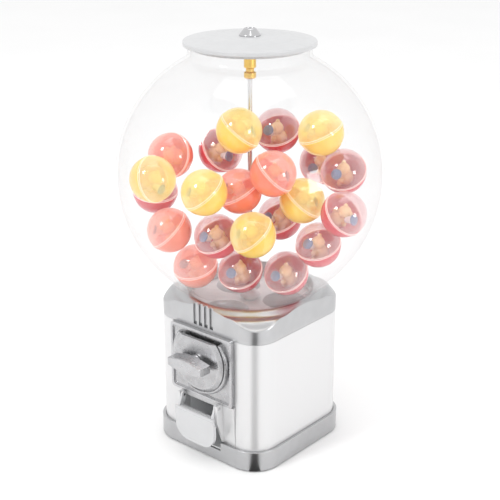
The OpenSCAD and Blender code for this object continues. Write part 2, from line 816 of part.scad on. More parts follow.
module chute_screws() {
    color("gainsboro") for (s = [-1, 1]) translate([s * (chute_half + 4), pocket_at, 0]) {
        bar(screw_r, hopper_z - chute_wall - 0.2, hopper_top, 32);
        bar(screw_r + 1.4, hopper_z - chute_wall - 1.6, hopper_z - chute_wall - 0.1, 32);
    }
}

module dispensing_wheel() {
    tube_r = pocket_r + 1.5;
    rim_in = wheel_r - 2.8;
    disc_z = wheel_top - 2.5;
    pitch = 360 / crown_teeth;
    color("snow") difference() {
        union() {
            rotate_extrude($fn = 128) polygon([
                [0, wheel_z], [hub_r, wheel_z], [hub_r, disc_z], [rim_in, disc_z],
                [rim_in, crown_root_z + 2], [crown_in - 1, crown_root_z + 2],
                [crown_in - 1, crown_root_z], [wheel_r, crown_root_z], [wheel_r, wheel_top], [0, wheel_top]]);
            for (i = [0 : pocket_count - 1]) rotate(-90 + i * 360 / pocket_count)
                translate([pocket_at, 0, 0]) bar(tube_r, crown_root_z + 0.6, wheel_top - 1);
            for (i = [0 : pocket_count - 1]) rotate(-30 + i * 360 / pocket_count)
                block([hub_r - 1, -1, crown_root_z + 0.8], [rim_in + 1, 1, wheel_top - 1]);
            for (i = [0 : crown_teeth - 1]) rotate(-90 + (i + 0.5) * pitch)
                rotate([90, 0, 90]) translate([0, 0, crown_in]) linear_extrude(gear_face - 0.5)
                    polygon([[-2.5, crown_root_z + 0.5], [-tooth_w / 2, mesh_z], [-1.6, wheel_z],
                             [1.6, wheel_z], [tooth_w / 2, mesh_z], [2.5, crown_root_z + 0.5]]);
        }
        bar(spindle_r + run, wheel_z - e, wheel_top + e);
        for (i = [0 : pocket_count - 1]) rotate(-90 + i * 360 / pocket_count)
            translate([pocket_at, 0, 0]) bar(pocket_r, wheel_z - e, wheel_top + e);
    }
}

module spindle_cap() {
    z = wheel_top + 1.9;
    color("snow") difference() {
        rotate_extrude($fn = 96) polygon(concat(
            [[0, z]], [for (a = sweep(0, 80, 8)) [9.5 * cos(a), z + 1 + 7 * sin(a)]], [[0, z + 8]]));
        bar(rod_r + slim, z - e, z + 10);
    }
}

module rod_nut() {
    z1 = hopper_z - 0.1;
    color("gainsboro") difference() {
        union() {
            bar(7, z1 - 1, z1);
            bar(4.2, z1 - 4.4, z1 - 0.9, 6);
        }
        bar(rod_r + slim, z1 - 5, z1 + e);
    }
}

module centre_rod() {
    color("lightsteelblue") bar(rod_r, rod_low, coupling_step - 0.3);
}

module rod_coupling() {
    bevel = 0.8;
    waist = 1.7;
    z0 = coupling_z;
    z1 = coupling_z + coupling_l;
    r = coupling_d / 2;
    color("goldenrod") difference() {
        rotate_extrude($fn = 96) polygon([
            [0, z0], [r - bevel, z0], [r, z0 + bevel], [r, z0 + coupling_l * 0.27],
            [r - waist, z0 + coupling_l * 0.31], [r - waist, z0 + coupling_l * 0.46],
            [r, z0 + coupling_l * 0.5], [r, z1 - bevel], [r - bevel, z1], [0, z1]]);
        bar(rod_r + slim, z0 - e, coupling_step);
        bar(tail_r + 0.1, coupling_step - 0.1, z1 + e);
    }
}

// ---------------------------------------------------- collar, globe and lid

// Top surface of the collar: a lip round the globe, a flat, then a soft
// drop out to the four corners
function ease(t) = (1 - cos(180 * min(1, max(0, t)))) / 2;
function collar_surface(r) =
    collar_top - 4.7 * ease((r - seat_r - 2) / 9) - 8.8 * ease((r - half - 7) / 13);

module collar() {
    lip_in = seat_r + 0.5;
    outer = half * sqrt(2) + 4;
    flute_low = shell_top + 3.5;
    color("silver") difference() {
        union() {
            intersection() {
                round_block(half, body_corner_r, shell_top, collar_top + 1);
                rotate_extrude($fn = 160) polygon(concat(
                    [[0, shell_top], [outer, shell_top]],
                    [for (r = [outer : -1.25 : lip_in + 1.4]) [r, collar_surface(r)]],
                    [[lip_in + 1.2, collar_top - 0.1], [lip_in + 0.6, collar_top], [0, collar_top]]));
            }
            // skirt that drops inside the shell
            difference() {
                round_block(in_half - fit, in_r - fit, hopper_top + 3.8, shell_top + 0.1);
                round_block(in_half - 2.4, in_r - 2.4, hopper_top + 3, shell_top - 0.01);
                block([-plate_w / 2 - 5, -half, hopper_top], [plate_w / 2 + 5, -panel_back + 2, shell_top]);
            }
            intersection() {
                at_corners(bolt_xy) bar(post_r, hopper_top, shell_top + 8);
                round_block(in_half - fit, in_r - fit, hopper_top, shell_top + 8);
            }
        }
        // room for the hopper, and a ledge above it
        bar(chamber_out + fit, hopper_top - e, ledge_z);
        bar(seat_r - 2.1, ledge_z - e, collar_top + 2);
        bar(lip_in + 0.2, ledge_z + ledge_t, collar_top + 2);
        // hollow corners under the top
        difference() {
            union() {
                round_block(in_half - 2.4, in_r - 2.4, shell_top - e, shell_top + 2);
                round_block(half - collar_wall, body_corner_r - collar_wall, shell_top + 1.6, shell_top + 7.6);
            }
            bar(chamber_out + fit + collar_wall, shell_top - 2, shell_top + 9);
            at_corners(bolt_xy) bar(post_r, hopper_top, shell_top + 9);
        }
        at_corners(bolt_xy) bar(bolt_r + slim, hopper_top - e, ledge_z - 4.6);
        for (i = [0 : flute_count - 1]) {
            x = (i - (flute_count - 1) / 2) * flute_pitch;
            block([x - flute_w / 2, -half - e, flute_low + 1], [x + flute_w / 2, -half + flute_depth, collar_top + e]);
            block([x - flute_w / 2, -half - e, flute_low], [x + flute_w / 2, -half + flute_depth + 1.2, flute_low + 2.2]);
        }
    }
}

module globe_gasket() {
    color("dimgray") ring(seat_r + 0.1, seat_r - 2.0, ledge_z + ledge_t, ledge_z + ledge_t + gasket_t);
}

module globe() {
    low = ledge_z + ledge_t + gasket_t;
    color("aliceblue", 0.3) difference() {
        union() {
            intersection() {
                translate([0, 0, globe_zc]) sphere(globe_r, $fn = 160);
                bar(globe_r + 1, collar_top - 0.3, neck_z + 0.5, 160);
            }
            bar(seat_r, low, collar_top);
            bar(mouth_r, neck_z - 4, globe_top);
        }
        intersection() {
            translate([0, 0, globe_zc]) sphere(globe_r - globe_wall, $fn = 160);
            bar(globe_r + 1, collar_top + 0.5, neck_z, 160);
        }
        bar(seat_r - globe_wall, low - e, collar_top + 8);
        bar(mouth_r - globe_wall, neck_z - 12, globe_top + e);
    }
}

module lid() {
    step_1 = lid_r * 0.68;
    step_2 = lid_r * 0.43;
    edge = 1.1;
    color("whitesmoke") difference() {
        union() {
            rotate_extrude($fn = 160) polygon(concat(
                [[0, lid_z], [lid_r - 0.6, lid_z], [lid_r, lid_z + 0.6], [lid_r, lid_rim_top - edge]],
                [for (a = sweep(0, 80, 5)) [lid_r - edge + edge * cos(a), lid_rim_top - edge + edge * sin(a)]],
                [[lid_r - 4, lid_rim_top + 0.15], [step_1 + 1, lid_top - 1.3], [step_1, lid_top - 1.1],
                 [step_2 + 1, lid_top - 0.35], [step_2, lid_top - 0.1], [lock_r + 3, lid_top], [0, lid_top]]));
            ring(locate_r, locate_r - 2, lid_z - 6, lid_z + 1);
        }
        rotate_extrude($fn = 128) polygon([
            [0, lid_z - e], [locate_r - 2, lid_z - e], [locate_r - 2, lid_z + 1.4],
            [step_2, lid_top - lid_wall - 0.4], [0, lid_top - lid_wall]]);
        bar(lock_body_r + 0.1, lid_z - e, lid_top + e);
    }
}

module lock_housing() {
    r1 = barrel_r + 0.6;
    color("silver") difference() {
        union() {
            bar(lock_body_r, lid_z - 8, lid_top + 0.2);
            rotate_extrude($fn = 96) polygon([
                [0, lid_top], [lock_r, lid_top], [lock_r, lid_top + 0.9], [lock_r - 1.4, lid_top + 2.6],
                [lock_r - 3, lid_top + 4.6], [r1 + 1, lid_top + lock_h - 0.3], [r1 + 0.4, lid_top + lock_h],
                [0, lid_top + lock_h]]);
        }
        bar(barrel_r + run, lid_z - 9, lid_top + lock_h + e);
    }
}

module lock_nut() {
    z1 = lid_top - lid_wall - 0.35;
    color("gainsboro") difference() {
        bar(lock_body_r + 3.2, z1 - 3, z1, 6);
        bar(lock_body_r + slim, z1 - 3 - e, z1 + e);
    }
}

module lock_barrel() {
    top = lid_top + lock_h - 0.4;
    color("dimgray") difference() {
        union() {
            bar(barrel_r, lid_z - 8, top);
            bar(barrel_r + 1.6, lid_z - 9.4, lid_z - 8.1);
            bar(tail_r, coupling_step + 0.6, lid_z - 8);
        }
        block([-0.55, -2.4, top - 5], [0.55, 2.4, top + e]);
        bar(1.1, top - 5, top + e, 32);
    }
}

// --------------------------------------------------------------- capsules

module place(c) {
    k = heap_r / 100;
    translate([c[1] * k, c[2] * k, globe_zc + c[3] * k]) rotate([0, c[5], c[4]]) children();
}

module half_shell(up) {
    difference() {
        sphere(capsule_r, $fn = 96);
        sphere(capsule_r - capsule_wall, $fn = 96);
        if (up) block([-capsule_r - 1, -capsule_r - 1, -capsule_r - 1], [capsule_r + 1, capsule_r + 1, seam]);
        else block([-capsule_r - 1, -capsule_r - 1, -seam], [capsule_r + 1, capsule_r + 1, capsule_r + 1]);
    }
}

module cups(name) {
    for (c = heap) if (c[0] == name) place(c) half_shell(false);
}

module domes(name) {
    for (c = heap) if (c[0] == name) place(c) half_shell(true);
}

module yellow_cups() { color("gold") cups("yellow"); }
module yellow_domes() { color("lemonchiffon", 0.5) domes("yellow"); }
module salmon_cups() { color("salmon") cups("salmon"); }
module salmon_domes() { color("mistyrose", 0.5) domes("salmon"); }
module red_cups() { color("firebrick") cups("red"); }
module red_domes() { color("mistyrose", 0.5) domes("red"); }

// Small plain bear-shaped toy, the same in every capsule
module toy() {
    body_r = 7.5;
    inner = capsule_r - capsule_wall;
    translate([0, 0, body_r - inner + 0.05]) {
        sphere(body_r, $fn = 64);
        translate([0, 0, 11.5]) sphere(6, $fn = 64);
        for (s = [-1, 1]) {
            translate([s * 4.4, 0, 16.5]) sphere(2, $fn = 32);
            translate([s * 6.6, -1.5, 3.5]) sphere(2.6, $fn = 32);
        }
    }
}

module toy_prizes() {
    color("burlywood") for (c = heap) place(c) toy();
}

rubber_feet();
base_tray();
tie_bolts();
body_shell();
front_panel();
prize_flap();
flap_pins();
coin_plate();
plate_screws();
dial_bush();
coin_dial();
turn_handle();
handle_stud();
coin_carrier();
drive_shaft();
ratchet_wheel();
drive_gear();
shaft_clip();
ratchet_pawl();
pawl_pin();
pawl_spring();
mech_bracket();
bracket_screws();
coin_guide();
hopper();
prize_chute();
chute_screws();
dispensing_wheel();
spindle_cap();
rod_nut();
centre_rod();
rod_coupling();
collar();
globe_gasket();
globe();
lid();
lock_housing();
lock_nut();
lock_barrel();
yellow_cups();
yellow_domes();
salmon_cups();
salmon_domes();
red_cups();
red_domes();
toy_prizes();
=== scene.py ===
"""Capsule vending machine: looks, light and camera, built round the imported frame."""
import json
import math

import bmesh
import bpy
import numpy as np
from mathutils import Matrix, Vector


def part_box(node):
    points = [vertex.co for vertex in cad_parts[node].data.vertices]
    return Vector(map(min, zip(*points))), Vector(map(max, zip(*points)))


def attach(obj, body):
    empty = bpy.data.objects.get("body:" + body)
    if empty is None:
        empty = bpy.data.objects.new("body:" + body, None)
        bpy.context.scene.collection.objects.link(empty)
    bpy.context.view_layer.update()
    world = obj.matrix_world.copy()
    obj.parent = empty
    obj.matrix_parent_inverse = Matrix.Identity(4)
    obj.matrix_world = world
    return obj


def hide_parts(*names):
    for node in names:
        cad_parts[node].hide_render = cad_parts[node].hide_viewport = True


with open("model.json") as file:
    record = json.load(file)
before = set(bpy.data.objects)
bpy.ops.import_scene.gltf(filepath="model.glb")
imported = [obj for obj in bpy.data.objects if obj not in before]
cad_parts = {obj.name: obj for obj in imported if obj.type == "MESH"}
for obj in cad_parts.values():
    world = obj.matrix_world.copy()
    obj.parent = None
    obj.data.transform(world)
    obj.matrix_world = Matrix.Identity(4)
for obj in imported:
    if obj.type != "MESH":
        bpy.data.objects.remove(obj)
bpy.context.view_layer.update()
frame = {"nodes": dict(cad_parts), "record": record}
nodes = frame["nodes"]
scene = bpy.context.scene
MM = 0.001

record = frame["record"]
body_of = {node: body for body, held in record["behaviour"]["bodies"].items() for node in held}
slot_of = {part["node"]: part["material_slot"] for part in record["subparts"]}


# ------------------------------------------------------------- materials

def new_material(name):
    """An empty material, its node tree and its output node."""
    m = bpy.data.materials.new(name)
    m.use_nodes = True
    t = m.node_tree
    t.nodes.clear()
    out = t.nodes.new("ShaderNodeOutputMaterial")
    return m, t, out


def link(t, a, b):
    t.links.new(a, b)


def noise(t, scale, detail=4.0, stretch=(1, 1, 1)):
    """A fine noise that stays with the object."""
    co = t.nodes.new("ShaderNodeTexCoord")
    mp = t.nodes.new("ShaderNodeMapping")
    mp.inputs["Scale"].default_value = stretch
    tx = t.nodes.new("ShaderNodeTexNoise")
    tx.inputs["Scale"].default_value = scale
    tx.inputs["Detail"].default_value = detail
    link(t, co.outputs["Object"], mp.inputs["Vector"])
    link(t, mp.outputs["Vector"], tx.inputs["Vector"])
    return tx.outputs["Fac"]


def ramp(t, fac, a, b, low=0.3, high=0.7):
    """From colour a to colour b as fac goes from low to high."""
    r = t.nodes.new("ShaderNodeValToRGB")
    for stop, position, color in zip(r.color_ramp.elements, (low, high), (a, b)):
        stop.position = position
        stop.color = color
    link(t, fac, r.inputs["Fac"])
    return r.outputs["Color"]


def grey(v):
    return (v, v, v, 1)


def shade(c, k):
    """Colour c made k times as bright, as a full RGBA colour."""
    return (*(min(1, v * k) for v in c), 1)


SUBSURFACE_DEPTH = 0.004
BUMP_HEIGHT = 0.0004
WORN_FROM, WORN_TO, WORN_BRIGHTER = 0.51, 0.56, 1.35


def surface(name, color, rough, metallic=0.0, vary=0.04, scale=60, rough_vary=0.05,
            bump=0.0, bump_scale=900, coat=0.0, coat_rough=0.05, wear=0.0, stretch=(1, 1, 1),
            sub=0.0, sub_radius=(1, 1, 1)):
    """Paint, plastic or metal with fine colour and gloss variation and worn edges."""
    m, t, out = new_material(name)
    p = t.nodes.new("ShaderNodeBsdfPrincipled")
    p.inputs["Metallic"].default_value = metallic
    p.inputs["Coat Weight"].default_value = coat
    p.inputs["Coat Roughness"].default_value = coat_rough
    p.inputs["IOR"].default_value = 1.5
    if sub:
        p.inputs["Subsurface Weight"].default_value = sub
        p.inputs["Subsurface Radius"].default_value = sub_radius
        p.inputs["Subsurface Scale"].default_value = SUBSURFACE_DEPTH
    base = ramp(t, noise(t, scale, 5, stretch), shade(color, 1 - vary), shade(color, 1 + vary))
    if wear:
        geo = t.nodes.new("ShaderNodeNewGeometry")
        edge = ramp(t, geo.outputs["Pointiness"], grey(0), grey(1), WORN_FROM, WORN_TO)
        mix = t.nodes.new("ShaderNodeMix")
        mix.data_type = "RGBA"
        lim = t.nodes.new("ShaderNodeMath")
        lim.operation = "MULTIPLY"
        lim.inputs[1].default_value = wear
        link(t, edge, lim.inputs[0])
        link(t, lim.outputs[0], mix.inputs["Factor"])
        link(t, base, mix.inputs["A"])
        mix.inputs["B"].default_value = shade(color, WORN_BRIGHTER)
        base = mix.outputs["Result"]
    link(t, base, p.inputs["Base Color"])
    r = ramp(t, noise(t, scale * 4, 3, stretch), grey(max(0.02, rough - rough_vary)),
             grey(min(1, rough + rough_vary)))
    link(t, r, p.inputs["Roughness"])
    if bump:
        b = t.nodes.new("ShaderNodeBump")
        b.inputs["Strength"].default_value = bump
        b.inputs["Distance"].default_value = BUMP_HEIGHT
        link(t, noise(t, bump_scale, 3, stretch), b.inputs["Height"])
        link(t, b.outputs["Normal"], p.inputs["Normal"])
    link(t, p.outputs["BSDF"], out.inputs["Surface"])
    return m


HAZE_THROUGH = 0.45
HAZE_STARTS = 0.1
GLOSS_BLEND = 0.25


def clear(name, tint, haze, haze_edge, haze_color, rough=0.03, gloss=0.04, gloss_edge=0.4,
          vary=0.0, blend=0.35, painted_glow=0.0):
    """Clear plastic: mostly see-through, paler towards its edges, glossy on top; painted_glow
    gives off a painted glow in the haze colour, light that no lamp gives.
    """
    m, t, out = new_material(name)
    tr = t.nodes.new("ShaderNodeBsdfTransparent")
    tr.inputs["Color"].default_value = (*tint, 1)
    near = t.nodes.new("ShaderNodeBsdfDiffuse")
    near.inputs["Color"].default_value = (*haze_color, 1)
    through = t.nodes.new("ShaderNodeBsdfTranslucent")
    through.inputs["Color"].default_value = (*haze_color, 1)
    milk = t.nodes.new("ShaderNodeMixShader")
    milk.inputs["Fac"].default_value = HAZE_THROUGH
    link(t, near.outputs["BSDF"], milk.inputs[1])
    link(t, through.outputs["BSDF"], milk.inputs[2])
    # painted glow: an emission in the haze colour, so the clear plastic shines with painted light
    # that no lamp gives
    if painted_glow:
        painted_glow_emission = t.nodes.new("ShaderNodeEmission")
        painted_glow_emission.inputs["Color"].default_value = (*haze_color, 1)
        painted_glow_emission.inputs["Strength"].default_value = painted_glow
        haze_and_painted_glow = t.nodes.new("ShaderNodeAddShader")
        link(t, milk.outputs["Shader"], haze_and_painted_glow.inputs[0])
        link(t, painted_glow_emission.outputs["Emission"], haze_and_painted_glow.inputs[1])
        milk = haze_and_painted_glow
    rim = t.nodes.new("ShaderNodeLayerWeight")
    rim.inputs["Blend"].default_value = blend
    amount = t.nodes.new("ShaderNodeMapRange")
    amount.inputs["From Min"].default_value = HAZE_STARTS
    amount.inputs["From Max"].default_value = 1.0
    amount.inputs["To Min"].default_value = haze
    amount.inputs["To Max"].default_value = haze_edge
    link(t, rim.outputs["Facing"], amount.inputs["Value"])
    fac = amount.outputs["Result"]
    if vary:
        mul = t.nodes.new("ShaderNodeMath")
        mul.operation = "MULTIPLY"
        link(t, fac, mul.inputs[0])
        link(t, ramp(t, noise(t, 50, 4), grey(1 - vary), grey(1)), mul.inputs[1])
        fac = mul.outputs[0]
    hazy = t.nodes.new("ShaderNodeMixShader")
    link(t, fac, hazy.inputs["Fac"])
    link(t, tr.outputs["BSDF"], hazy.inputs[1])
    link(t, milk.outputs["Shader"], hazy.inputs[2])
    gl = t.nodes.new("ShaderNodeBsdfGlossy")
    gl.inputs["Roughness"].default_value = rough
    face = t.nodes.new("ShaderNodeLayerWeight")
    face.inputs["Blend"].default_value = GLOSS_BLEND
    share = t.nodes.new("ShaderNodeMapRange")
    share.inputs["To Min"].default_value = gloss
    share.inputs["To Max"].default_value = gloss_edge
    link(t, face.outputs["Facing"], share.inputs["Value"])
    whole = t.nodes.new("ShaderNodeMixShader")
    link(t, share.outputs["Result"], whole.inputs["Fac"])
    link(t, hazy.outputs["Shader"], whole.inputs[1])
    link(t, gl.outputs["BSDF"], whole.inputs[2])
    link(t, whole.outputs["Shader"], out.inputs["Surface"])
    return m


MATERIALS = {
    "satin_silver": surface("satin_silver", (0.50, 0.502, 0.51), 0.3, 1.0, vary=0.03, scale=90,
                            rough_vary=0.02, bump=0.03, bump_scale=1500, wear=0.15),
    "gloss_white": surface("gloss_white", (0.70, 0.70, 0.705), 0.30, 0.45, vary=0.006, scale=12,
                           rough_vary=0.01),
    "cast_silver": surface("cast_silver", (0.47, 0.47, 0.48), 0.32, 1.0, vary=0.10, scale=140,
                           rough_vary=0.08, bump=0.22, bump_scale=1300, wear=0.5),
    "bright_steel": surface("bright_steel", (0.62, 0.62, 0.63), 0.2, 1.0, vary=0.06, scale=120,
                            bump=0.05, stretch=(1, 1, 8)),
    "dark_steel": surface("dark_steel", (0.12, 0.12, 0.125), 0.4, 0.8, vary=0.12, scale=160,
                          bump=0.15, wear=0.3),
    "brass": surface("brass", (0.80, 0.52, 0.14), 0.26, 1.0, vary=0.10, scale=300,
                     bump=0.08, bump_scale=2500, wear=0.4),
    "chrome": surface("chrome", (0.56, 0.56, 0.57), 0.08, 1.0, vary=0.02, scale=80,
                      rough_vary=0.02),
    "milky": surface("milky", (0.80, 0.81, 0.82), 0.45, vary=0.04, scale=60, bump=0.08,
                     bump_scale=700, sub=0.15),
    "flap_white": surface("flap_white", (0.58, 0.585, 0.595), 0.2, vary=0.02, scale=45,
                          bump=0.03, coat=0.5, coat_rough=0.08),
    "lid_white": surface("lid_white", (0.52, 0.523, 0.53), 0.33, vary=0.02, scale=60,
                         bump=0.10, bump_scale=1400, wear=0.1),
    "rubber": surface("rubber", (0.03, 0.03, 0.03), 0.8, vary=0.2, scale=200, bump=0.2),
    "gasket": surface("gasket", (0.62, 0.62, 0.60), 0.7, vary=0.08, scale=120, bump=0.1),
    "yellow": surface("yellow", (0.95, 0.62, 0.12), 0.22, vary=0.04, scale=70, bump=0.05,
                      bump_scale=600, coat=0.4, sub=0.2, sub_radius=(1, 0.6, 0.1)),
    "salmon": surface("salmon", (0.92, 0.23, 0.14), 0.22, vary=0.04, scale=70, bump=0.05,
                      bump_scale=600, coat=0.4, sub=0.2, sub_radius=(1, 0.3, 0.2)),
    "red": surface("red", (0.66, 0.045, 0.07), 0.22, vary=0.06, scale=70, bump=0.05,
                   bump_scale=600, coat=0.4, sub=0.15, sub_radius=(1, 0.1, 0.1)),
    "tan": surface("tan", (1.0, 0.68, 0.32), 0.5, vary=0.12, scale=220, bump=0.25,
                   bump_scale=1500),
    "clear": clear("clear", (0.992, 0.993, 0.994), 0.004, 0.10, (0.95, 0.96, 0.97), gloss=0.012,
                   gloss_edge=0.25),
    # the pale clear halves give off a painted glow in their haze colour
    "pale_yellow": clear("pale_yellow", (1.0, 0.96, 0.70), 0.30, 0.75, (1.0, 0.88, 0.46),
                         vary=0.2, gloss=0.06, painted_glow=0.32),
    "pale_pink": clear("pale_pink", (1.0, 0.97, 0.97), 0.06, 0.45, (1.0, 0.66, 0.68),
                       vary=0.2, gloss=0.06, painted_glow=0.30),
}

# the salmon capsules' clear halves are deeper in colour than the red ones'
OWN_FINISH = {
    # this clear half also gives off a painted glow in its haze colour
    "salmon_domes": clear("salmon_clear", (1.0, 0.86, 0.82), 0.26, 0.72, (1.0, 0.56, 0.48),
                          vary=0.2, gloss=0.06, painted_glow=0.30),
}


def finish_of(node):
    return OWN_FINISH.get(node) or MATERIALS[slot_of[node]]


# ---------------------------------------------------------- mesh building

def mesh_object(name, bm, material, sharp):
    """An object in the scene from bm, smooth but for edges over sharp degrees."""
    bmesh.ops.recalc_face_normals(bm, faces=bm.faces)
    for f in bm.faces:
        f.smooth = True
    me = bpy.data.meshes.new(name)
    bm.to_mesh(me)
    bm.free()
    me.set_sharp_from_angle(angle=math.radians(sharp))
    me.materials.append(material)
    ob = bpy.data.objects.new(name, me)
    scene.collection.objects.link(ob)
    return ob


def finish_piece(name, bm, node, sharp, weighted=False):
    """A visible piece that stands for this CAD node, with its body and material."""
    ob = mesh_object(name, bm, finish_of(node), sharp)
    if weighted:
        ob.modifiers.new("normals", "WEIGHTED_NORMAL").keep_sharp = True
    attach(ob, body_of[node])
    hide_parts(node)


def own_piece(name, bm, material, sharp=40):
    """An extra visible piece on the cabinet that stands for no CAD node of its own."""
    ob = mesh_object(name, bm, material, sharp)
    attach(ob, "cabinet")


FLAT_WITHIN = 0.3
SPECK = 0.002
SOFT_SHARP = 38


def soften(node, width, segs=2, angle=30, merge=0.004):
    """The node's own shape with its hard edges rounded by width millimetres."""
    bm = bmesh.new()
    bm.from_mesh(nodes[node].data)
    bmesh.ops.remove_doubles(bm, verts=bm.verts, dist=merge * MM)
    bmesh.ops.dissolve_limit(bm, angle_limit=math.radians(FLAT_WITHIN),
                             use_dissolve_boundaries=False, verts=bm.verts, edges=bm.edges)
    bmesh.ops.dissolve_degenerate(bm, dist=SPECK * MM, edges=bm.edges)
    edges = [e for e in bm.edges
             if len(e.link_faces) == 2 and e.calc_face_angle() > math.radians(angle)]
    bmesh.ops.bevel(bm, geom=edges, offset=width * MM, segments=segs, profile=0.5,
                    affect="EDGES", clamp_overlap=True)
    finish_piece(node + "_body", bm, node, SOFT_SHARP, weighted=True)


ON_AXIS = 1e-6


def revolve(bm, profile, segs, place=None):
    """Closed solid of revolution about Z from (radius, height) pairs in millimetres."""
    rings = []
    for r, z in profile:
        turns = [2 * math.pi * i / segs for i in range(segs if r > ON_AXIS else 1)]
        rings.append([bm.verts.new(Vector((r * math.cos(a), r * math.sin(a), z)) * MM)
                      if r > ON_AXIS else bm.verts.new(Vector((0, 0, z)) * MM) for a in turns])
    made = [v for ring in rings for v in ring]
    for a, b in zip(rings, rings[1:] + rings[:1]):
        for i in range(segs):
            j = (i + 1) % segs
            if len(a) == 1 and len(b) == 1:
                break
            if len(a) == 1:
                bm.faces.new((a[0], b[i], b[j]))
            elif len(b) == 1:
                bm.faces.new((a[i], b[0], a[j]))
            else:
                bm.faces.new((a[i], b[i], b[j], a[j]))
    if place is not None:
        bmesh.ops.transform(bm, matrix=place, verts=made)


def arc(radius, a0, a1, n, z=0.0, r=0.0):
    """n + 1 points round (r, z), from a0 to a1 degrees."""
    return [(r + radius * math.cos(math.radians(a0 + (a1 - a0) * i / n)),
             z + radius * math.sin(math.radians(a0 + (a1 - a0) * i / n))) for i in range(n + 1)]


# ------------------------------------------------- cabinet and mechanism

soften("base_tray", 0.8, 3)
soften("body_shell", 0.35)
soften("front_panel", 0.5, 3)
soften("prize_flap", 0.35)
soften("coin_plate", 0.35, merge=0.06)
soften("coin_dial", 0.3)
soften("turn_handle", 0.7, 3, angle=25, merge=0.05)
soften("coin_carrier", 0.2)
soften("lock_housing", 0.3, 3, angle=25)
soften("lock_barrel", 0.2)
soften("rod_coupling", 0.25, angle=25)
soften("spindle_cap", 0.2)
soften("dispensing_wheel", 0.35)
for small in ["rubber_feet", "tie_bolts", "flap_pins", "plate_screws", "dial_bush", "rod_nut",
              "chute_screws", "bracket_screws", "pawl_pin", "lock_nut", "handle_stud",
              "ratchet_wheel", "ratchet_pawl", "drive_gear", "mech_bracket"]:
    soften(small, 0.15, 1)


# ------------------------------------------------------------ the collar

def ease(t):
    return (1 - math.cos(math.pi * min(1, max(0, t)))) / 2


COLLAR_DEPTH = 25
COLLAR_CORNER = 24.0
COLUMNS = 480                       # round the collar, besides those at the flutes
FLUTES_X = (-9.75, -3.25, 3.25, 9.75)
FLUTE_HALF, FLUTE_EDGE = 2.0, 0.07
FLUTE_DEPTH, FLUTE_FOOT_DEPTH = 1.4, 2.6
FLUTE_FROM, FLUTE_STEP = 3.5, 5.75  # heights over the collar's foot
EDGE_ROUND = 0.9
SEAT_GAP = 0.7                      # between the collar's lip and the globe
LIP_FLAT, LIP_FALL, LIP_RUN = 2, 4.7, 9
CORNER_FROM, CORNER_FALL, CORNER_RUN = 7, 8.8, 13
WALL_FROM, COLLAR_WALL = 6, 2.5     # below this height the moulding is only an outer wall


def collar_mesh(half, corner, z0, z1, seat):
    """Moulded collar: a lip round the globe, then a soft fall to the four corners,
    with four flutes down the front."""
    columns = [2 * math.pi * i / COLUMNS for i in range(COLUMNS)]
    for x in FLUTES_X:
        for side in (-1, 1):
            for edge in (-1, 1):
                at = x + side * FLUTE_HALF + edge * FLUTE_EDGE
                columns.append(math.atan2(-half, at) % (2 * math.pi))
    columns = sorted(set(round(c, 6) for c in columns))

    def reach(a):
        """How far the rounded square goes out at angle a."""
        ux, uy = abs(math.cos(a)), abs(math.sin(a))
        r = half / max(ux, uy)
        flat = half - corner
        if min(ux, uy) * r > flat:
            dot = (ux + uy) * flat
            r = dot + math.sqrt(dot * dot - (2 * flat * flat - corner * corner))
        return r

    def height(r):
        return (z1 - LIP_FALL * ease((r - seat - LIP_FLAT) / LIP_RUN)
                - CORNER_FALL * ease((r - half - CORNER_FROM) / CORNER_RUN))

    bm = bmesh.new()
    rings = []
    for a in columns:
        r1 = reach(a)
        x1, y1 = r1 * math.cos(a), r1 * math.sin(a)
        fluted = y1 < -half + 0.5 and any(abs(x1 - x) < FLUTE_HALF for x in FLUTES_X)
        rim = height(r1) - EDGE_ROUND
        prof = [(seat + SEAT_GAP, z0 + WALL_FROM), (seat + SEAT_GAP, z1 - 0.5),
                (seat + 0.9, z1 - 0.15), (seat + 1.3, z1)]
        for i in range(17):
            r = seat + LIP_FLAT + (r1 - EDGE_ROUND - seat - LIP_FLAT) * i / 16
            prof.append((r, height(r)))
        h0 = height(r1 - EDGE_ROUND)
        for i in range(1, 5):
            t = math.pi / 2 * i / 4
            prof.append((r1 - EDGE_ROUND + EDGE_ROUND * math.sin(t),
                         rim + (h0 - rim) * math.cos(t)))
        for up in (5.85, 5.7, 4.4, 3.6, 3.45, 0.3):
            prof.append((r1, z0 + up))
        prof += [(r1 - 0.3, z0 + 0.02), (r1 - COLLAR_WALL, z0 + 0.02),
                 (r1 - COLLAR_WALL, z0 + WALL_FROM), (seat + 2.4, z0 + WALL_FROM)]
        ring = []
        for r, z in prof:
            x, y = r * math.cos(a), r * math.sin(a)
            inside = r < r1 - 2 and z < z0 + WALL_FROM + 0.1
            if fluted and r > r1 - 3.0 and z > z0 + FLUTE_FROM and not inside:
                y = max(y, -half + (FLUTE_FOOT_DEPTH if z < z0 + FLUTE_STEP else FLUTE_DEPTH))
            ring.append(bm.verts.new(Vector((x, y, z)) * MM))
        rings.append(ring)
    n = len(rings[0])
    for ring, nxt in zip(rings, rings[1:] + rings[:1]):
        for j in range(n):
            k = (j + 1) % n
            bm.faces.new((ring[j], ring[k], nxt[k], nxt[j]))
    return bm


SEAT_R = 58.0                       # the globe's lower neck, which sits in the collar
collar_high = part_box("collar")[1]
collar_top = collar_high.z / MM
finish_piece("collar_moulding",
             collar_mesh(collar_high.x / MM, COLLAR_CORNER, collar_top - COLLAR_DEPTH,
                         collar_top, SEAT_R), "collar", 40)


# --------------------------------------------------------------- the lid

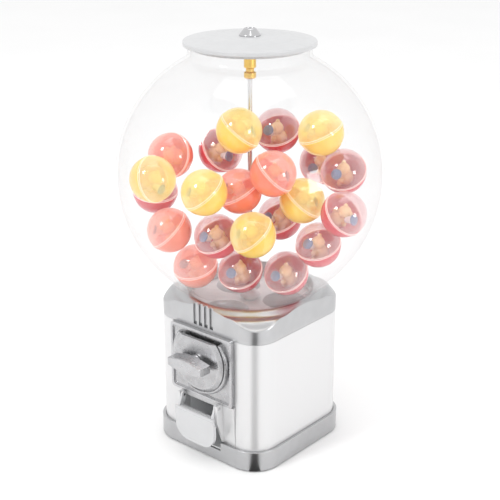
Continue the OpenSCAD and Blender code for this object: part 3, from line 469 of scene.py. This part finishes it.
LID_HIGH = 7.9                      # the cover's top over the globe's rim
low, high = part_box("lid")
lid_r = (high.x - low.x) / 2 / MM
lid_z = high.z / MM - LID_HIGH
UNDERSIDE = [(9.0, 3.4), (lid_r * 0.43, 3.2), (49.0, 1.4)]
LOCATING_RING = [(48.6, -2.4), (49.2, -3.0), (50.0, -3.0), (50.4, -2.6), (50.5, -0.4), (51.0, 0)]
RIM = [(lid_r - 0.7, 0), (lid_r - 0.2, 0.2), (lid_r, 0.7), (lid_r, 3.1)]
RIM_ROUND = 1.2
RIM_STEP = [(lid_r - 2.2, 4.36), (lid_r - 3.4, 4.5), (lid_r - 5, 4.75)]
TOP_STEPS = [(40.6, 6.45), (39.9, 6.62), (39.3, 6.85), (26.2, 7.45), (25.4, 7.52), (24.6, 7.72),
             (12.5, 7.9), (9.0, 7.9), (8.0, 7.9), (8.0, 3.4)]


def raised(profile):
    return [(r, lid_z + z) for r, z in profile]


bm = bmesh.new()
revolve(bm, raised(UNDERSIDE + LOCATING_RING + RIM)
        + arc(RIM_ROUND, 0, 80, 6, lid_z + 3.1, lid_r - RIM_ROUND)
        + raised(RIM_STEP + TOP_STEPS), 192)
finish_piece("lid_cover", bm, "lid", 50)


# ------------------------------------------------------------ the globe

WALL = 2.5
MOUTH_R = 54.0                      # the rim that the lid closes
low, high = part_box("globe")
globe_r = (high.x - low.x) / 2 / MM
foot, top = low.z / MM, high.z / MM
neck_z = collar_top - 0.3           # where the ball meets the lower neck
centre_z = neck_z + math.sqrt(globe_r ** 2 - SEAT_R ** 2)
inner = globe_r - WALL
out_from = math.degrees(math.asin((neck_z - centre_z) / globe_r))
out_to = math.degrees(math.acos(MOUTH_R / globe_r))
in_from = math.degrees(math.acos((MOUTH_R - WALL) / inner))
in_to = -math.degrees(math.acos((SEAT_R - WALL) / inner))
mouth_z = centre_z + globe_r * math.sin(math.radians(out_to))
bm = bmesh.new()
revolve(bm, [(SEAT_R, foot + 0.4), (SEAT_R, collar_top - 0.8)]
        + arc(globe_r, out_from, out_to - 1.2, 72, centre_z)
        + [(MOUTH_R + 0.6, mouth_z + 1.2), (MOUTH_R, mouth_z + 2.4),
           (MOUTH_R, top - 0.6), (MOUTH_R - 0.6, top), (MOUTH_R - WALL + 0.6, top),
           (MOUTH_R - WALL, top - 0.6)]
        + arc(inner, in_from, in_to, 72, centre_z)
        + [(SEAT_R - WALL, foot + 0.4), (SEAT_R - WALL + 0.4, foot), (SEAT_R - 0.4, foot)], 192)
finish_piece("globe_shell", bm, "globe", 60)


# --------------------------------------------------------- the capsules

NO_AREA = 1e-12
RIM_AREA = 40e-6                    # a cup's flat rim is larger than any other flat of it
APART = 0.005


def capsule_places(cup_node):
    """Centre and axis of every capsule, from the flat rims of its cups."""
    me = nodes[cup_node].data
    me.calc_loop_triangles()
    co = np.zeros(len(me.vertices) * 3)
    me.vertices.foreach_get("co", co)
    co = co.reshape(-1, 3)
    tri = np.zeros(len(me.loop_triangles) * 3, int)
    me.loop_triangles.foreach_get("vertices", tri)
    p = co[tri.reshape(-1, 3)]
    cr = np.cross(p[:, 1] - p[:, 0], p[:, 2] - p[:, 0])
    area = np.linalg.norm(cr, axis=1) / 2
    keep = area > NO_AREA
    p, cr, area = p[keep], cr[keep], area[keep]
    nrm = cr / (2 * area[:, None])
    mid = p.mean(axis=1)
    found = {}
    for n, a, c in zip(nrm, area, mid):
        key = (round(n[0], 2), round(n[1], 2), round(n[2], 2), round(float(n @ c) * 2000))
        s = found.setdefault(key, [0.0, np.zeros(3), np.zeros(3)])
        s[0] += a
        s[1] += a * c
        s[2] += a * n
    places = []
    for key in sorted(found):
        a, c, n = found[key]
        if a > RIM_AREA:
            c, n = Vector(c / a), Vector(n / a).normalized()
            if all((c - q[0]).length > APART for q in places):
                places.append((c, n))
    return places


CAPSULE_R, SHELL = 20.0, 1.2
CUP = (arc(CAPSULE_R, -90, -4.6, 28)
       + [(20.32, -1.5), (20.4, -1.2), (20.4, -0.5), (20.25, -0.2), (20.0, -0.08), (18.8, -0.08)]
       + arc(CAPSULE_R - SHELL, -4, -90, 22))
DOME = (arc(CAPSULE_R, 90, 5.2, 28)
        + [(20.3, 1.7), (20.45, 1.4), (20.45, 0.45), (20.3, 0.15), (20.0, 0.05), (18.8, 0.05)]
        + arc(CAPSULE_R - SHELL, 4, 90, 22))
SEAM_BEADS = [[(20.15, z - 0.25), (20.5, z - 0.12), (20.5, z + 0.12), (20.15, z + 0.25)]
              for z in (0.2, 1.75)]
CAPSULE_SEGS = 72

capsules = {colour: capsule_places(colour + "_cups") for colour in ("yellow", "salmon", "red")}
seam_bm = bmesh.new()
for colour in capsules:
    cup_bm, dome_bm = bmesh.new(), bmesh.new()
    for c, n in capsules[colour]:
        place = Matrix.Translation(c) @ n.to_track_quat("Z", "Y").to_matrix().to_4x4()
        revolve(cup_bm, CUP, CAPSULE_SEGS, place)
        revolve(dome_bm, DOME, CAPSULE_SEGS, place)
        for bead in SEAM_BEADS:
            revolve(seam_bm, bead, CAPSULE_SEGS, place)
    finish_piece(colour + "_cup_halves", cup_bm, colour + "_cups", 40)
    finish_piece(colour + "_dome_halves", dome_bm, colour + "_domes", 40)


# ------------------------------------------------------------- the toys

# a plain bear: radius, then centre, of each ball, in millimetres from the capsule's centre
BEAR = [(7.4, 0, 0, -8.5), (5.8, -1, 0, 2.2),                       # body and head
        (1.9, -5.2, 0, 6.8), (1.9, 3.2, 0, 6.8),                    # ears
        (2.6, -6.8, -1.5, -4.5), (2.6, 6.8, -1.5, -4.5),            # arms
        (2.9, -4.6, -4.5, -13.0), (2.9, 4.6, -4.5, -13.0),          # legs
        (2.2, -1, -4.6, 1.0)]                                       # muzzle
TOY_CUP = [(0, 0), (2.4, 0), (2.7, 0.3), (3.6, 7.4), (3.3, 7.6), (0, 7.6)]
TOY_CUP_LID = [(0, 7.7), (4.4, 7.7), (4.7, 8.0), (4.7, 8.9), (4.3, 9.2), (0, 9.2)]
TOY_CUP_AT, TOY_CUP_LEAN = (5.4, -3.0, 1.5), 0.5
TOY_SEGS, BALL_STEPS = 28, 14


def shifted(x, y, z):
    return Matrix.Translation(Vector((x, y, z)) * MM)


bear_bm, white_bm, blue_bm = bmesh.new(), bmesh.new(), bmesh.new()
for colour in capsules:
    for c, n in capsules[colour]:
        bearing = math.atan2(n.y, n.x)
        tip = math.acos(max(-1, min(1, n.z)))
        place = (Matrix.Translation(c) @ Matrix.Rotation(bearing, 4, "Z")
                 @ Matrix.Rotation(tip, 4, "Y"))
        for r, x, y, z in BEAR:
            revolve(bear_bm, arc(r, -90, 90, BALL_STEPS), TOY_SEGS, place @ shifted(x, y, z))
        cup = place @ shifted(*TOY_CUP_AT) @ Matrix.Rotation(TOY_CUP_LEAN, 4, "Y")
        revolve(white_bm, TOY_CUP, TOY_SEGS, cup)
        revolve(blue_bm, TOY_CUP_LID, TOY_SEGS, cup)
finish_piece("toy_bears", bear_bm, "toy_prizes", 40)
# the seam beads give off a painted glow in their pale haze colour
own_piece("capsule_seam_beads", seam_bm,
          clear("seam_clear", (1, 0.97, 0.94), 0.75, 0.9, (1.0, 0.90, 0.86), gloss=0.1, vary=0.1,
                painted_glow=0.35))
own_piece("toy_cups", white_bm,
          surface("toy_white", (0.85, 0.85, 0.86), 0.35, vary=0.04, scale=300, bump=0.05))
own_piece("toy_cup_lids", blue_bm,
          surface("toy_blue", (0.05, 0.16, 0.36), 0.35, vary=0.1, scale=300, bump=0.05))

# every CAD node has its finish too, and those that no piece above stands for show as they are
for node, ob in nodes.items():
    ob.data.materials.clear()
    ob.data.materials.append(MATERIALS[slot_of[node]])
    for poly in ob.data.polygons:
        poly.use_smooth = True
    ob.data.set_sharp_from_angle(angle=math.radians(35))


# ------------------------------------------------- floor, light and camera

def stage_face(name, corners, material):
    """One flat face that only dresses the picture."""
    me = bpy.data.meshes.new(name)
    me.from_pydata(corners, [], [tuple(range(len(corners)))])
    me.materials.append(material)
    ob = bpy.data.objects.new(name, me)
    scene.collection.objects.link(ob)
    return ob


FLOOR = 4                           # half its side, in metres
stage_face("floor",
           [(-FLOOR, -FLOOR, 0), (FLOOR, -FLOOR, 0), (FLOOR, FLOOR, 0), (-FLOOR, FLOOR, 0)],
           surface("floor_paper", (0.90, 0.90, 0.90), 0.9, vary=0.01, scale=3, rough_vary=0.02,
                   bump=0.02, bump_scale=60))

AZ, PITCH = 40.68, 20.7             # the camera's, in degrees
# a dark wedge on the floor that only reflections see: it gives the dark line at the corner
WEDGE_TIP, WEDGE_LENGTH, WEDGE_SPREAD, WEDGE_Z = 0.04, 0.9, 12, 0.0004
wedge = [(WEDGE_TIP, -WEDGE_TIP, WEDGE_Z)]
for side in (-1, 1):
    a = math.radians(AZ + side * WEDGE_SPREAD)
    wedge.append((WEDGE_TIP + WEDGE_LENGTH * math.sin(a), -WEDGE_TIP - WEDGE_LENGTH * math.cos(a),
                  WEDGE_Z))
card_dark = bpy.data.materials.new("dark_card")
card_dark.use_nodes = True
card_shader = card_dark.node_tree.nodes["Principled BSDF"]
card_shader.inputs["Base Color"].default_value = (0.004, 0.004, 0.004, 1)
card_shader.inputs["Roughness"].default_value = 1.0
card = stage_face("dark_card", wedge, card_dark)
card.visible_camera = False
card.visible_diffuse = False
card.visible_shadow = False
card.visible_transmission = False


def area_light(name, loc, target, size, energy):
    """A rectangular light at loc that faces target."""
    light = bpy.data.lights.new(name, "AREA")
    light.shape = "RECTANGLE"
    light.size, light.size_y = size
    light.energy = energy
    ob = bpy.data.objects.new(name, light)
    ob.location = loc
    ob.rotation_euler = (Vector(target) - Vector(loc)).to_track_quat("-Z", "Y").to_euler()
    scene.collection.objects.link(ob)


area_light("key_left", (-0.35, -1.35, 1.45), (0, 0, 0.25), (0.32, 0.42), 9)
area_light("fill_right", (1.55, 0.1, 0.42), (0, 0, 0.25), (0.3, 0.42), 5)
area_light("top_soft", (0, 0.1, 1.9), (0, 0, 0.2), (1.2, 1.2), 6)

world = bpy.data.worlds.new("studio")
scene.world = world
world.use_nodes = True
sky = world.node_tree
sky.nodes.clear()
SEEN, LIT = 1.0, 1.03               # how white the background looks, and how much it lights
backgrounds = {}
for strength in (SEEN, LIT):
    backgrounds[strength] = sky.nodes.new("ShaderNodeBackground")
    backgrounds[strength].inputs["Strength"].default_value = strength
    backgrounds[strength].inputs["Color"].default_value = (1, 1, 1, 1)
path = sky.nodes.new("ShaderNodeLightPath")
either = sky.nodes.new("ShaderNodeMixShader")
sky_out = sky.nodes.new("ShaderNodeOutputWorld")
link(sky, path.outputs["Is Camera Ray"], either.inputs["Fac"])
link(sky, backgrounds[LIT].outputs["Background"], either.inputs[1])
link(sky, backgrounds[SEEN].outputs["Background"], either.inputs[2])
link(sky, either.outputs["Shader"], sky_out.inputs["Surface"])

lens = bpy.data.cameras.new("camera")
lens.lens = 80.9
lens.sensor_width = 36
lens.clip_start = 0.01
camera = bpy.data.objects.new("camera", lens)
camera.location = (0.6279, -0.7305, 0.5476)
camera.rotation_euler = (math.radians(90 - PITCH), 0, math.radians(AZ))
scene.collection.objects.link(camera)
scene.camera = camera
scene.view_settings.view_transform = "Standard"
scene.cycles.transparent_max_bounces = 32
